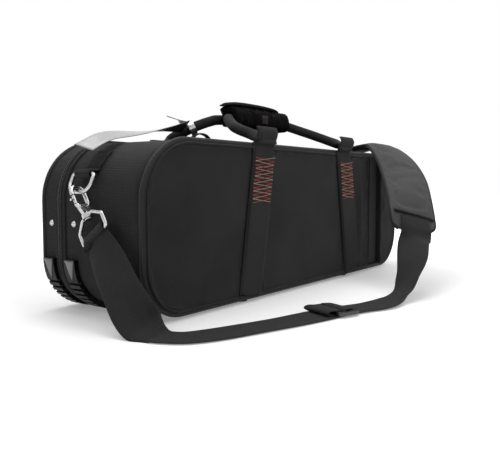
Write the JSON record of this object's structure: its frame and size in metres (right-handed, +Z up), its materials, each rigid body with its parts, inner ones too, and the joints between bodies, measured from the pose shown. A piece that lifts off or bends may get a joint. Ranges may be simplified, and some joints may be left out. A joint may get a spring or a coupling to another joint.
{
  "type": "trumpet case",
  "caption": "Zipped trumpet case standing on its long side, with joined carrying handles, padded grip, outside pocket, ribbed corner guards and clip-on shoulder strap.",
  "frame": {"origin": "on the floor under the middle of the case, halfway along it and between its front and rear faces", "axes": "+X along the case away from the bell end, +Y from the pocket side towards the lid, +Z up"},
  "size_m": [0.7444, 0.3523, 0.2778],
  "materials": {
    "outer_cloth": "woven black nylon with a fine horizontal rib",
    "panel_cloth": "padded black nylon",
    "lining": "short-pile plush",
    "webbing": "dense woven webbing",
    "piping": "semi-gloss cord",
    "zip": "coil zip on woven tape",
    "guard": "glossy moulded plastic",
    "foot": "matte rubber",
    "nickel": "polished nickel plate",
    "gunmetal": "gunmetal plate",
    "handle_cloth": "tubular woven webbing",
    "grip_cloth": "padded wrap with a soft sheen",
    "pad_cloth": "padded pile cloth",
    "strip": "smooth coated strip"
  },
  "bodies": {
    "case": {"base_shell": "outer_cloth", "base_liner": "lining", "sheet_pocket": "outer_cloth", "end_panel": "panel_cloth", "front_panels": "panel_cloth", "front_straps": "webbing", "front_piping": "piping", "base_zip_tape": "zip", "base_bumpers": "guard", "base_feet": "foot", "base_rivets": "nickel", "ring_tabs": "webbing", "left_frame": "nickel", "right_frame": "nickel", "strap_front": "webbing", "strap_back": "webbing", "shoulder_pad": "pad_cloth", "strap_adjuster": "gunmetal", "strap_fold": "webbing"},
    "lid": {"lid_shell": "outer_cloth", "lid_liner": "lining", "rear_piping": "piping", "lid_zip_tape": "zip", "lid_bumpers": "guard", "lid_rivets": "nickel", "rear_straps": "webbing"},
    "front_handle": {"front_handle": "handle_cloth", "grip_wrap": "grip_cloth"},
    "grip_flap": {"grip_flap": "grip_cloth"},
    "rear_handle": {"rear_handle": "handle_cloth", "tag_ring": "nickel"},
    "tag": {"tag_strap": "strip"},
    "left_slider": {"left_slider": "gunmetal"},
    "left_puller": {"left_puller": "gunmetal"},
    "right_slider": {"right_slider": "gunmetal"},
    "right_puller": {"right_puller": "webbing"},
    "left_ring": {"left_ring": "nickel"},
    "right_ring": {"right_ring": "nickel"},
    "left_hook": {"left_hook": "nickel"},
    "right_hook": {"right_hook": "nickel"},
    "left_gate": {"left_gate": "nickel"},
    "right_gate": {"right_gate": "nickel"}
  },
  "joints": [
    {"name": "lid_hinge", "type": "hinge", "parent": "case", "child": "lid", "pos_m": [0, 0.0525, 0.0024], "axis": [-1, 0, 0], "range_deg": [0, 100]},
    {"name": "front_handle_fold", "type": "hinge", "parent": "case", "child": "front_handle", "pos_m": [0, -0.0905, 0.2095], "axis": [1, 0, 0], "range_deg": [0, 120]},
    {"name": "grip_flap_lift", "type": "hinge", "parent": "front_handle", "child": "grip_flap", "pos_m": [0, 0.02025, 0.2708], "axis": [-1, 0, 0], "range_deg": [0, 150]},
    {"name": "rear_handle_fold", "type": "hinge", "parent": "lid", "child": "rear_handle", "pos_m": [0, 0.092, 0.2095], "axis": [-1, 0, 0], "range_deg": [0, 120]},
    {"name": "tag_swing", "type": "hinge", "parent": "rear_handle", "child": "tag", "pos_m": [-0.104, 0.0465, 0.2371], "axis": [0, 1, 0], "range_deg": [0, 60]},
    {"name": "left_zip_run", "type": "slide", "parent": "case", "child": "left_slider", "axis": [-1, 0, 0], "range_m": [0, 0.09]},
    {"name": "right_zip_run", "type": "slide", "parent": "case", "child": "right_slider", "axis": [1, 0, 0], "range_m": [0, 0.12]},
    {"name": "left_puller_lift", "type": "hinge", "parent": "left_slider", "child": "left_puller", "pos_m": [-0.1551, 0.0525, 0.2148], "axis": [0, 1, 0], "range_deg": [0, 10]},
    {"name": "right_puller_tilt", "type": "hinge", "parent": "right_slider", "child": "right_puller", "pos_m": [-0.078, 0.0525, 0.2197], "axis": [0, 1, 0], "range_deg": [-8, 8]},
    {"name": "left_ring_swing", "type": "hinge", "parent": "case", "child": "left_ring", "pos_m": [-0.3335, 0.005, 0.167], "axis": [0, 1, 0], "range_deg": [-2, 2]},
    {"name": "left_hook_swivel", "type": "hinge", "parent": "case", "child": "left_hook", "pos_m": [-0.34273, -0.00958, 0.12201], "axis": [0, -0.515, -0.8572], "range_deg": [-15, 15]},
    {"name": "left_gate_spring", "type": "hinge", "parent": "left_hook", "child": "left_gate", "pos_m": [-0.35093, -0.00242, 0.13392], "axis": [0, 0.8572, -0.515], "range_deg": [0, 25], "stiffness_Nm_per_rad": 0.02, "springref_deg": -11.46},
    {"name": "right_ring_swing", "type": "hinge", "parent": "case", "child": "right_ring", "pos_m": [0.3335, 0.005, 0.167], "axis": [0, 1, 0], "range_deg": [-2, 2]},
    {"name": "right_hook_swivel", "type": "hinge", "parent": "case", "child": "right_hook", "pos_m": [0.34273, 0.005, 0.11796], "axis": [0, 0, -1], "range_deg": [-15, 15]},
    {"name": "right_gate_spring", "type": "hinge", "parent": "right_hook", "child": "right_gate", "pos_m": [0.35093, 0.005, 0.13186], "axis": [0, -1, 0], "range_deg": [0, 25], "stiffness_Nm_per_rad": 0.02, "springref_deg": -11.46}
  ]
}
